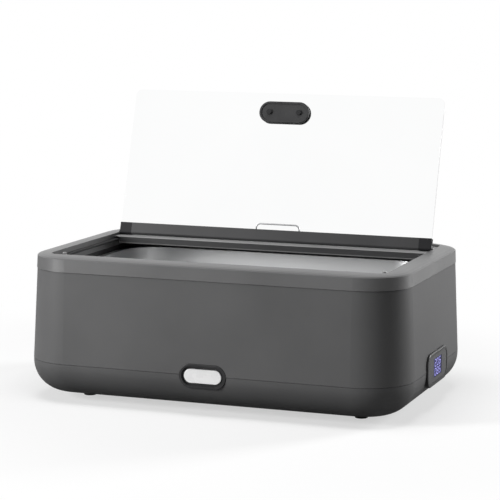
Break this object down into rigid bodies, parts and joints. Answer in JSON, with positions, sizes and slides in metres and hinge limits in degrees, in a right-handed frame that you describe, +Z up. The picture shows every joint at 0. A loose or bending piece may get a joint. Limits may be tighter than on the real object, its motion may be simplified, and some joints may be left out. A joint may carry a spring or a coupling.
{
  "type": "electric chafing dish",
  "caption": "Table-top electric food warmer: a rounded drafted housing, a lift-out steel pan over a heated well, and a lift-off cover with a clear hinged lid.",
  "frame": {"origin": "on the table, under the middle of the body, at the bottom of the feet", "axes": "+Z up, +X to the right as the user faces the badge, +Y to the rear"},
  "size_m": [0.6095, 0.4063, 0.4572],
  "materials": {
    "shell_plastic": "fine matte, dark grey",
    "trim_plastic": "satin black",
    "black_metal": "fine black powder coat",
    "pan_steel": "satin stainless",
    "inner_steel": "plain steel",
    "screw_steel": "zinc plated",
    "plate_aluminium": "cast, satin",
    "lid_clear": "clear, polished",
    "black_rubber": "matte",
    "grey_rubber": "matte grey",
    "badge_white": "bare white gloss",
    "fascia_film": "satin film",
    "screen": "dark blue gloss",
    "electronics": "board green",
    "insulation": "mineral fibre felt"
  },
  "bodies": {
    "housing": {"body_shell": "shell_plastic", "base_shell": "shell_plastic", "top_frame": "shell_plastic", "control_housing": "trim_plastic", "badge_bezel": "trim_plastic", "power_inlet": "trim_plastic", "switch_housing": "trim_plastic", "terminal_block": "trim_plastic", "inner_well": "black_metal", "hatch": "black_metal", "heat_shield": "inner_steel", "element_clamps": "inner_steel", "heating_element": "inner_steel", "temperature_sensor": "inner_steel", "base_screws": "screw_steel", "frame_screws": "screw_steel", "well_screws": "screw_steel", "foot_screws": "screw_steel", "hatch_screws": "screw_steel", "inlet_screws": "screw_steel", "board_screws": "screw_steel", "heater_plate": "plate_aluminium", "feet": "black_rubber", "wiring": "black_rubber", "badge_plate": "badge_white", "control_fascia": "fascia_film", "display_window": "screen", "control_board": "electronics", "display_module": "electronics", "thermal_cutout": "electronics", "insulation_blanket": "insulation"},
    "cover": {"cover_frame": "black_metal", "rear_deck": "black_metal", "deck_screws": "screw_steel", "deck_trim": "grey_rubber", "wire_bail": "inner_steel", "cover_bumpers": "black_rubber"},
    "lid": {"lid_glass": "lid_clear", "lid_channel": "black_metal", "lid_gasket": "black_rubber", "lid_end_caps": "trim_plastic", "hinge_pins": "inner_steel", "handle_plate": "trim_plastic", "handle_seals": "black_rubber", "handle_grip": "trim_plastic", "handle_screws": "black_metal"},
    "pan": {"food_pan": "pan_steel"},
    "rocker": {"switch_rocker": "trim_plastic"}
  },
  "joints": [
    {"name": "cover_lift", "type": "slide", "parent": "housing", "child": "cover", "axis": [0, 0, 1], "range_m": [0, 0.25]},
    {"name": "pan_lift", "type": "slide", "parent": "housing", "child": "pan", "axis": [0, 0, 1], "range_m": [0, 0.11]},
    {"name": "lid_hinge", "type": "hinge", "parent": "cover", "child": "lid", "pos_m": [0, 0.1068, 0.2264], "axis": [1, 0, 0], "range_deg": [0, 107]},
    {"name": "switch_rock", "type": "hinge", "parent": "housing", "child": "rocker", "pos_m": [-0.11, 0.20001, 0.096], "axis": [1, 0, 0], "range_deg": [0, 18]}
  ],
  "couplings": [
    {"joint": "pan_lift", "follows": "cover_lift", "ratio": 0.44}
  ]
}
